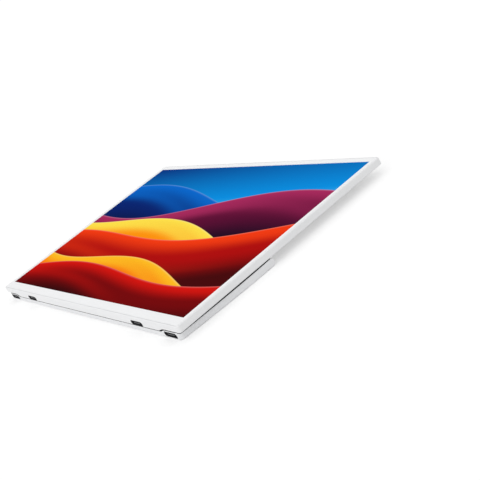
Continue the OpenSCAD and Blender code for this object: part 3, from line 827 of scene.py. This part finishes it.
def block_plan(inset, far):
    """Outline of the block drawn in by an inset, from the near edge round to its far end: two corner
    arcs, two curved sides and two small far corners."""
    r, r_far = CORNER_R - inset, FAR_CORNER_R
    a = np.linspace(-np.pi / 2, 0, 11)
    corner = np.stack([CORNER_X + r * np.cos(a), NEAR + CORNER_R + r * np.sin(a)], 1)
    y = np.linspace(NEAR + CORNER_R, far - r_far, 22)[1:]
    side = np.stack([side_half(y) - inset, y], 1)
    b = np.linspace(0, np.pi / 2, 6)[1:]
    end = np.stack([FAR_HALF - inset - r_far + r_far * np.cos(b), far - r_far + r_far * np.sin(b)], 1)
    right = np.concatenate([corner, side, end])
    return np.concatenate([right, right[::-1] * [-1, 1]])


def shoulder(x, y):
    """Height of the block's upper edge: level along the near face, and lower along the sides by a drop
    that grows steadily from the far end to the near corner. A smooth step, 3 t squared less 2 t cubed,
    brings it in round the corner."""
    t = np.clip((np.abs(x) - DROP_FROM) / (DROP_TO - DROP_FROM), 0, 1)
    drop = SIDE_DROP + SIDE_FALL * np.clip((y - FALL_FROM) / (FALL_TO - FALL_FROM), 0, 1)
    return BLOCK_TOP - drop * (3 * t**2 - 2 * t**3)


def block_rings(edge):
    """Rings of the block's outline from its back up to the seam. At each height the sides and the near
    face are drawn in by the edge's quarter circle, and the far end by the half circle of the block's
    whole thickness, so that it ends in a full round. The upper half is pressed down in proportion, so
    that the last ring lies on the shoulder, and a neck carries on from there to the slab."""
    around = END_RADIUS * (1 - np.cos(np.linspace(0, np.pi, 25)))
    along = edge - edge * np.cos(np.linspace(0, np.pi / 2, 9))
    rings = []
    for z in np.unique(np.round(np.concatenate([around, along]), 4)):
        side = edge - math.sqrt(max(edge**2 - max(edge - z, 0) ** 2, 0))
        end = END_RADIUS - math.sqrt(max(END_RADIUS**2 - (z - END_RADIUS) ** 2, 0))
        plan = block_plan(side, BLOCK_HIGH[1] - end)
        press = BLOCK_TOP - shoulder(*plan.T)
        rings.append(ring(plan, z - press * max(z - END_RADIUS, 0) / (BLOCK_TOP - END_RADIUS)))
    neck = block_plan(NECK_IN, AXIS_Y)
    return rings + [ring(neck, shoulder(*neck.T)), ring(neck, SEAM_TOP)]


def near_face(name, points):
    """Depth of the near face at each point of a socket's outline. It is level, and at an outer socket it
    draws back round the block's corner by a circle's height."""
    if name.startswith("inner"):
        return NEAR
    past = np.clip(np.abs(points[:, 0]) - CORNER_X, 0, CORNER_R)
    return NEAR + CORNER_R - np.sqrt(CORNER_R**2 - past**2)


def socket_opening(name, flare):
    """Cutter for a socket's opening in the near wall. It is wider than the socket's body by the rim of
    its collar."""
    x, z, wall = SOCKETS[name][:3]
    outline = stadium(OPENING_W + 2 * RIM, OPENING_H + 2 * RIM, (x, z))
    return opening(outline, near_face(name, outline[0]), NEAR + wall + OVER, "xz", flare)


def scoop():
    """Finger scoop: a slot outline that shrinks with height as the chord of a circle does."""
    rings = []
    for t in np.linspace(1, 0.04, 12):
        z = SCOOP_DEEP - (SCOOP_DEEP + 0.4) * t**2
        chord = math.sqrt(SCOOP_R**2 - (SCOOP_R - SCOOP_DEEP + z) ** 2)
        rings.append(ring(stadium(2 * (SCOOP_HALF + chord), 2 * chord, (0, POCKET_NEAR), 10)[0], z))
    return stacked(rings)


def seam_step():
    """Cutter above the block's wall where the skirt comes down: its lower line is the skirt's lowered by
    the seam's gap, with each step moved outwards, where the gap widens."""
    xs = step_stations()
    line = np.stack([xs + np.sign(xs) * STEP_LAG, BLOCK_TOP - skirt_drop(xs)], 1)
    end, high = SKIRT_OUT + STEP_LAG + SEAM_GAP, SEAM_TOP + 2
    profile = np.concatenate([[[-end, high], [-end, BLOCK_TOP]], line, [[end, BLOCK_TOP], [end, high]]])
    return prism((profile, None), NEAR - OVER, NEAR + SKIRT_WALL + LAP, "xz")


def cheek_space(side, near, far, low, high):
    """Cutter for the space inside a cheek, between its inner face and the block's curved side."""
    y = np.linspace(near, far, 12)
    curve = np.stack([side_half(y) - BLOCK_WALL, y], 1)
    corners = np.concatenate([[[CHEEK, near]], curve, [[CHEEK, far]]])
    if side < 0:
        corners = corners[::-1] * [-1, 1]
    return prism((corners, None), low, high)


def pin_rod(radius, side, a, b):
    """Rod on the stand's axis between two distances from the middle, on one side."""
    return rod(radius, *sorted((side * a, side * b)), (AXIS_Y, AXIS_Z))


def block_space():
    """Cutters for the space inside the block: behind the near wall, above the pocket, in each cheek."""
    top = SEAM_TOP + OVER
    inner = NEAR + SOCKETS["outer_left"][2]
    end = SCOOP_HALF + SCOOP_R
    rooms = (((-SPACE_HALF, -end), BLOCK_FLOOR), ((-end - LAP, end + LAP), POCKET_CEILING),
             ((end, SPACE_HALF), BLOCK_FLOOR))
    spaces = [prism(rectangle(x, (inner, POCKET_NEAR - RIB), 0.5), low, top) for x, low in rooms]
    above = rectangle((-CHEEK, CHEEK), (POCKET_NEAR - RIB - LAP, BAY_NEAR - RIB), 0.5)
    spaces.append(prism(above, POCKET_CEILING + POCKET_ROOF, top))
    spaces += [cheek_space(side, CHEEK_NEAR, AXIS_Y, KEY_RIB_TOP, top) for side in (-1, 1)]
    spaces.append(cheek_space(-1, CHEEK_NEAR, AXIS_Y, BLOCK_FLOOR, KEY_RIB_TOP + LAP))
    stops = (CHEEK_NEAR, *KEY_RIBS, AXIS_Y)
    spaces += [cheek_space(1, near, far, BLOCK_FLOOR, KEY_RIB_TOP + LAP)
               for near, far in zip(stops[::2], stops[1::2])]
    for side in (-1, 1):
        spaces.append(pin_rod(EYE_SPACE_R, side, CHEEK, EYE_SPACE_X))
        spaces.append(pin_rod(PIN_BORE_R, side, POCKET_W - OVER, CHEEK + OVER))
    return spaces


class MONITOR_OT_housing(bpy.types.Operator):
    """Make the rear housing block with its stand pocket, seam step, openings and inner space"""

    bl_idname = "monitor.housing"
    bl_label = "Housing block"

    def execute(self, context):
        sizes = context.scene.monitor_sizes
        across = (-POCKET_W, POCKET_W)
        cutters = [
            opening(rectangle(across, (POCKET_NEAR, PAST_END), 0.6), 0.0, POCKET_CEILING, flare=0.25),
            prism(rectangle(across, (BAY_NEAR, PAST_END), 0.3), -OVER, SEAM_TOP + OVER),
            seam_step(), scoop(),
        ]
        cutters += [socket_opening(name, sizes.mouth / MM) for name in ("outer_left", "outer_right")]
        cutters += block_space()
        for name in ("inner_left", "inner_right"):
            x, low, half = SOCKETS[name][0], SOCKETS[name][3], SOCKET_HALF + 0.2
            room = rectangle((x - half, x + half), (NEAR + SKIRT_WALL, NEAR + 4.3))
            cutters.append(prism(room, low - LAP, SEAM_TOP + OVER))
        for key in KEYS:
            low, high = node_box(key)
            hole = rectangle((low[0] + 0.1, high[0] - 0.1), (low[1] + 0.6, high[1] - 0.6), 0.9, 6)
            cutters.append(opening(hole, 0.0, 1.5, flare=0.15))
        for xy in SCREWS:
            cutters.append(rod(SEAT_R, 1.5, POCKET_CEILING + HEAD_LONG, xy, "xy"))
            cutters.append(rod(BORE_R, POCKET_CEILING + HEAD_LONG - LAP, BORE_TOP, xy, "xy"))
        block = stacked(block_rings(sizes.block_edge / MM))
        piece("housing_block", [block], "body", "housing", "housing_shell", cutters)
        return {"FINISHED"}


class MONITOR_OT_screws(bpy.types.Operator):
    """Make the six housing screws with hexagonal recesses"""

    bl_idname = "monitor.screws"
    bl_label = "Housing screws"

    def execute(self, context):
        low = POCKET_CEILING
        bodies, recesses = [], []
        for xy in SCREWS:
            bodies.append(rod(HEAD_R, low, low + HEAD_LONG, xy, "xy", 0.2))
            bodies.append(rod(SHANK_R, low + HEAD_LONG - LAP, low + SCREW_LONG, xy, "xy", 0.15))
            hexagon = rounded_polygon(np.array(xy) + HEX_R * circle(6), [0.06] * 6, 3)
            recesses.append(opening(hexagon, low, low + HEX_DEEP, flare=0.08))
        piece("housing_screw_set", bodies, "body", "steel", "housing_screws", recesses)
        return {"FINISHED"}


class MONITOR_OT_sockets(bpy.types.Operator):
    """Make the four socket collars and the tongue inside each"""

    bl_idname = "monitor.sockets"
    bl_label = "Sockets"

    def execute(self, context):
        for name, (x, z, wall, low, high) in SOCKETS.items():
            inner, back = NEAR + wall - 0.2, NEAR + SOCKET_DEEP
            shelf, end = NEAR + wall + 0.04, back - SOCKET_END
            body = rectangle((x - SOCKET_HALF, x + SOCKET_HALF), (low, high), 0.3, 16)[0]
            rim = stadium(OPENING_W + 2 * RIM - 2 * HAIR, OPENING_H + 2 * RIM - 2 * HAIR, (x, z))
            collar = stadium(OPENING_W - 0.2, OPENING_H - 0.2, (x, z))[0]
            hole = stadium(OPENING_W - 1.4, OPENING_H - 0.9, (x, z))
            space = centred((x, z), HOLE_HALF_W, HOLE_HALF_H, 0.3, 16)[0]
            collar_y, rim_y, hole_y = (near_face(name, at) + HAIR for at in (collar, rim[0], hole[0]))
            outside = ((body, back), (body, shelf), (collar, shelf), (collar, collar_y + 0.6),
                       (rim[0], rim_y + 0.5))
            inside = ((hole[0], inner), (space, inner), (space, end))
            rings = [ring(points, y, "xz") for points, y in outside]
            rings += edge_rings(rim, 0.12, rim_y, 1, "xz", 3)[::-1]
            rings += edge_rings(hole, 0.3, hole_y, 1, "xz", 5, hole=True)
            rings += [ring(points, y, "xz") for points, y in inside]
            piece(f"collar_{name}", [stacked(rings)], "body", "socket", f"socket_{name}")
            blade = centred((x, z), TONGUE_HALF_W, TONGUE_HALF_H, 0.18, 5)
            tongue = pillow(blade, NEAR + 0.35, end, 0.2, 0, "xz")
            piece(f"blade_{name}", [tongue], "body", "tongue", f"tongue_{name}")
        return {"FINISHED"}


def key_marks(centre, low, high):
    """Cutters of each key's mark: a ring with a bar for power, crossed bars for plus, a bar for minus.
    The ring is a rectangle of radii and heights carried round the centre."""

    def bar(width, height, place=centre):
        return prism(stadium(width, height, place, 5), low, high)

    corners = ((0.7, low), (0.7, high), (0.5, high), (0.5, low))
    groove = stacked([ring(circle(32) * r + centre, z) for r, z in corners], closed=True)
    return {
        "power": [groove, bar(0.2, 0.8, centre + [0, 0.45])],
        "plus": [bar(MARK_LONG, MARK_WIDE), bar(MARK_WIDE, MARK_LONG)],
        "minus": [bar(MARK_LONG, MARK_WIDE)],
    }


class MONITOR_OT_keys(bpy.types.Operator):
    """Make the power, plus and minus keys with their marks"""

    bl_idname = "monitor.keys"
    bl_label = "Keys"

    def execute(self, context):
        for node, body in KEYS.items():
            low, high = node_box(node)
            base, top = low[2], high[2]
            centre = (low + high)[:2] / 2
            cap = centred(centre, KEY_HALF_W, KEY_HALF_L, 0.7, 6)
            flange = rectangle(*zip(low[:2], high[:2]), 0.5, 6)[0]
            rings = edge_rings(cap, 0.35, base, 1, steps=5)
            rings += [ring(cap[0], KEY_SHELF), ring(flange, KEY_SHELF), ring(flange, top)]
            marks = key_marks(centre, base - OVER, base + MARK_DEEP)[body]
            piece(f"{body}_key_cap", [stacked(rings)], body, "key", node, marks)
        return {"FINISHED"}


class MONITOR_OT_stand(bpy.types.Operator):
    """Make the stand plate with its barrel and lip, and the rubber foot on its free end"""

    bl_idname = "monitor.stand"
    bl_label = "Kick stand"

    def execute(self, context):
        near, far, low = PLATE_LOW[1], PLATE_HIGH[1], PLATE_LOW[2]
        lip_top, barrel_top = low + 2 * LIP_R, AXIS_Z + BARREL_R
        round_lip, round_barrel = LIP_R * FULL_ROUND, BARREL_R * FULL_ROUND
        corners = [[near, low], [far, low], [far, lip_top], [AXIS_Y + BARREL_R, lip_top],
                   [AXIS_Y + BARREL_R, barrel_top], [AXIS_Y - BARREL_R, barrel_top],
                   [AXIS_Y - BARREL_R, STAND_TOP], [near, STAND_TOP]]
        radii = [0.25, round_lip, round_lip, 0.8, round_barrel, round_barrel, 1.0, 0.15]
        section = rounded_polygon(corners, radii, 10)
        plate = pillow(section, PLATE_LOW[0], PLATE_HIGH[0], 0.3, 0.3, "yz")
        leaf_low, leaf_high = node_box("hinge_leaf_right")
        cutters = []
        for side in (-1, 1):
            room = (leaf_low[0] - LEAF_FIT, leaf_high[0] + LEAF_FIT)
            slot = rectangle(sorted(side * x for x in room), (leaf_low[1] - LEAF_FIT, AXIS_Y), 0.15)
            cutters.append(prism(slot, leaf_low[2] - LEAF_FIT, AXIS_Z))
            cutters.append(pin_rod(SLEEVE_R, side, *room))
            cutters.append(pin_rod(PIN_R, side, leaf_low[0], PLATE_HIGH[0] + OVER))
            for dx in LEAF_SCREW_X:
                cutters.append(rod(LEAF_SCREW_R, 0.6, 3.0, (side * (leaf_low[0] + dx), LEAF_SCREW_Y), "xy"))
        piece("kick_stand", [plate], "stand", "stand", "stand_plate", cutters)
        low, high = node_box("stand_foot")
        strip = rectangle(*zip(low[1:], high[1:]), 0.3, 5)
        rubber = pillow(strip, low[0], high[0], 0.3, 0.3, "yz")
        piece("rubber_foot", [rubber], "stand", "foot", "stand_foot")
        return {"FINISHED"}


class MONITOR_OT_module(bpy.types.Operator):
    """Finish the display module's sheets, pan and frame"""

    bl_idname = "monitor.module"
    bl_label = "Display module"

    def execute(self, context):
        dress("film_stack", "light_guide", "reflector_sheet", "mould_frame", "led_strip", "back_pan",
              "module_tapes")
        return {"FINISHED"}


class MONITOR_OT_boards(bpy.types.Operator):
    """Finish the boards, their chips and the display ribbon"""

    bl_idname = "monitor.boards"
    bl_label = "Boards"

    def execute(self, context):
        dress("timing_board", "main_board", "board_chips", "chip_shield", "ribbon_connector",
              "display_ribbon", "key_board", "key_switches")
        return {"FINISHED"}


class MONITOR_OT_hardware(bpy.types.Operator):
    """Finish the standoffs, the stiffener and the hinge parts"""

    bl_idname = "monitor.hardware"
    bl_label = "Hardware"

    def execute(self, context):
        dress("standoffs", "stiffener_plate", "bracket_screws", "leaf_screws")
        for side in ("left", "right"):
            dress(f"bracket_{side}", f"hinge_pin_{side}", f"friction_washers_{side}", f"hinge_leaf_{side}")
        return {"FINISHED"}


def seen_directly(tree):
    """One for what the camera, a mirror or a glass sees, and nothing for what lights the object."""
    path = tree.nodes.new("ShaderNodeLightPath")
    seen = path.outputs["Is Camera Ray"]
    for other in ("Is Glossy Ray", "Is Transmission Ray"):
        add = tree.nodes.new("ShaderNodeMath")
        add.operation, add.use_clamp = "ADD", True
        tree.links.new(seen, add.inputs[0])
        tree.links.new(path.outputs[other], add.inputs[1])
        seen = add.outputs[0]
    return seen


def set_floor(stage):
    """Square floor just under the object. Its glow is seen, and lights nothing."""
    half, low = stage.floor_size / 2, -0.05 * MM
    mesh = bpy.data.meshes.new("studio_floor")
    corners = [(-half, -half, low), (half, -half, low), (half, half, low), (-half, half, low)]
    mesh.from_pydata(corners, [], [(0, 1, 2, 3)])
    floor = bpy.data.objects.new("studio_floor", mesh)
    bpy.context.scene.collection.objects.link(floor)
    f = Finish("studio_floor")
    tone = stage.floor_tone
    glow = f.times(seen_directly(f.tree), stage.floor_lift)
    f.set(colour=(tone, tone, tone, 1.0), roughness=1.0, specular=0.0, glow=WHITE, glow_strength=glow)
    mesh.materials.append(f.material)


def set_room(stage):
    """Even light from all round. The room itself looks white."""
    world = bpy.data.worlds.new("studio")
    world.use_nodes = True
    bpy.context.scene.world = world
    tree = world.node_tree
    level = tree.nodes.new("ShaderNodeMapRange")
    level.inputs["To Min"].default_value = stage.sky
    level.inputs["To Max"].default_value = 1.0
    tree.links.new(seen_directly(tree), level.inputs["Value"])
    tree.links.new(level.outputs["Result"], tree.nodes["Background"].inputs["Strength"])
    tree.nodes["Background"].inputs["Color"].default_value = WHITE


def set_key(stage):
    """Light from far away beyond the socket edge, as wide as a soft box looks from there."""
    lamp = bpy.data.lights.new("broad_key", "SUN")
    lamp.angle, lamp.energy = stage.key_spread, stage.key
    obj = bpy.data.objects.new("broad_key", lamp)
    obj.rotation_euler = Vector((0.25, -1.0, 0.2)).to_track_quat("Z", "Y").to_euler()
    bpy.context.scene.collection.objects.link(obj)


def set_camera(stage):
    """The camera that looks at the socket edge's corner from above."""
    scene = bpy.context.scene
    camera = bpy.data.cameras.new("camera")
    camera.sensor_width, camera.lens = 36.0, stage.lens
    eye = bpy.data.objects.new("camera", camera)
    eye.location = CAMERA_PLACE
    eye.rotation_euler = [math.radians(a) for a in CAMERA_TURN]
    scene.collection.objects.link(eye)
    scene.camera = eye
    scene.view_settings.view_transform = "Standard"


class MONITOR_OT_stage(bpy.types.Operator):
    """Set the floor, the light and the camera"""

    bl_idname = "monitor.stage"
    bl_label = "Stage"

    def execute(self, context):
        for make in (set_floor, set_room, set_key, set_camera):
            make(context.scene.monitor_stage)
        return {"FINISHED"}


OPERATORS = (
    MONITOR_OT_bezel, MONITOR_OT_rear_cover, MONITOR_OT_screen, MONITOR_OT_housing, MONITOR_OT_screws,
    MONITOR_OT_sockets, MONITOR_OT_keys, MONITOR_OT_stand, MONITOR_OT_module, MONITOR_OT_boards,
    MONITOR_OT_hardware, MONITOR_OT_stage,
)
GROUPS = {"monitor_sizes": MonitorSizes, "monitor_colours": MonitorColours, "monitor_stage": MonitorStage}


class MONITOR_PT_sidebar(bpy.types.Panel):
    """Sidebar panel with the settings and one button for each group of pieces"""

    bl_idname = "MONITOR_PT_sidebar"
    bl_label = "Portable Monitor"
    bl_space_type = "VIEW_3D"
    bl_region_type = "UI"
    bl_category = "Monitor"

    def draw(self, context):
        for name in GROUPS:
            group = getattr(context.scene, name)
            box = self.layout.box()
            for key in group.bl_rna.properties.keys():
                if key not in ("rna_type", "name"):
                    box.prop(group, key)
        for operator in OPERATORS:
            self.layout.operator(operator.bl_idname)


def register():
    for cls in (*GROUPS.values(), *OPERATORS, MONITOR_PT_sidebar):
        bpy.utils.register_class(cls)
    for name, group in GROUPS.items():
        setattr(bpy.types.Scene, name, bpy.props.PointerProperty(type=group))


def unregister():
    for name in GROUPS:
        delattr(bpy.types.Scene, name)
    for cls in (MONITOR_PT_sidebar, *reversed(OPERATORS), *reversed(tuple(GROUPS.values()))):
        bpy.utils.unregister_class(cls)


def main():
    """Registers the add-on and makes every piece."""
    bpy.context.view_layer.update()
    register()
    for operator in OPERATORS:
        group, name = operator.bl_idname.split(".")
        getattr(getattr(bpy.ops, group), name)()


if __name__ == "__main__":
    main()
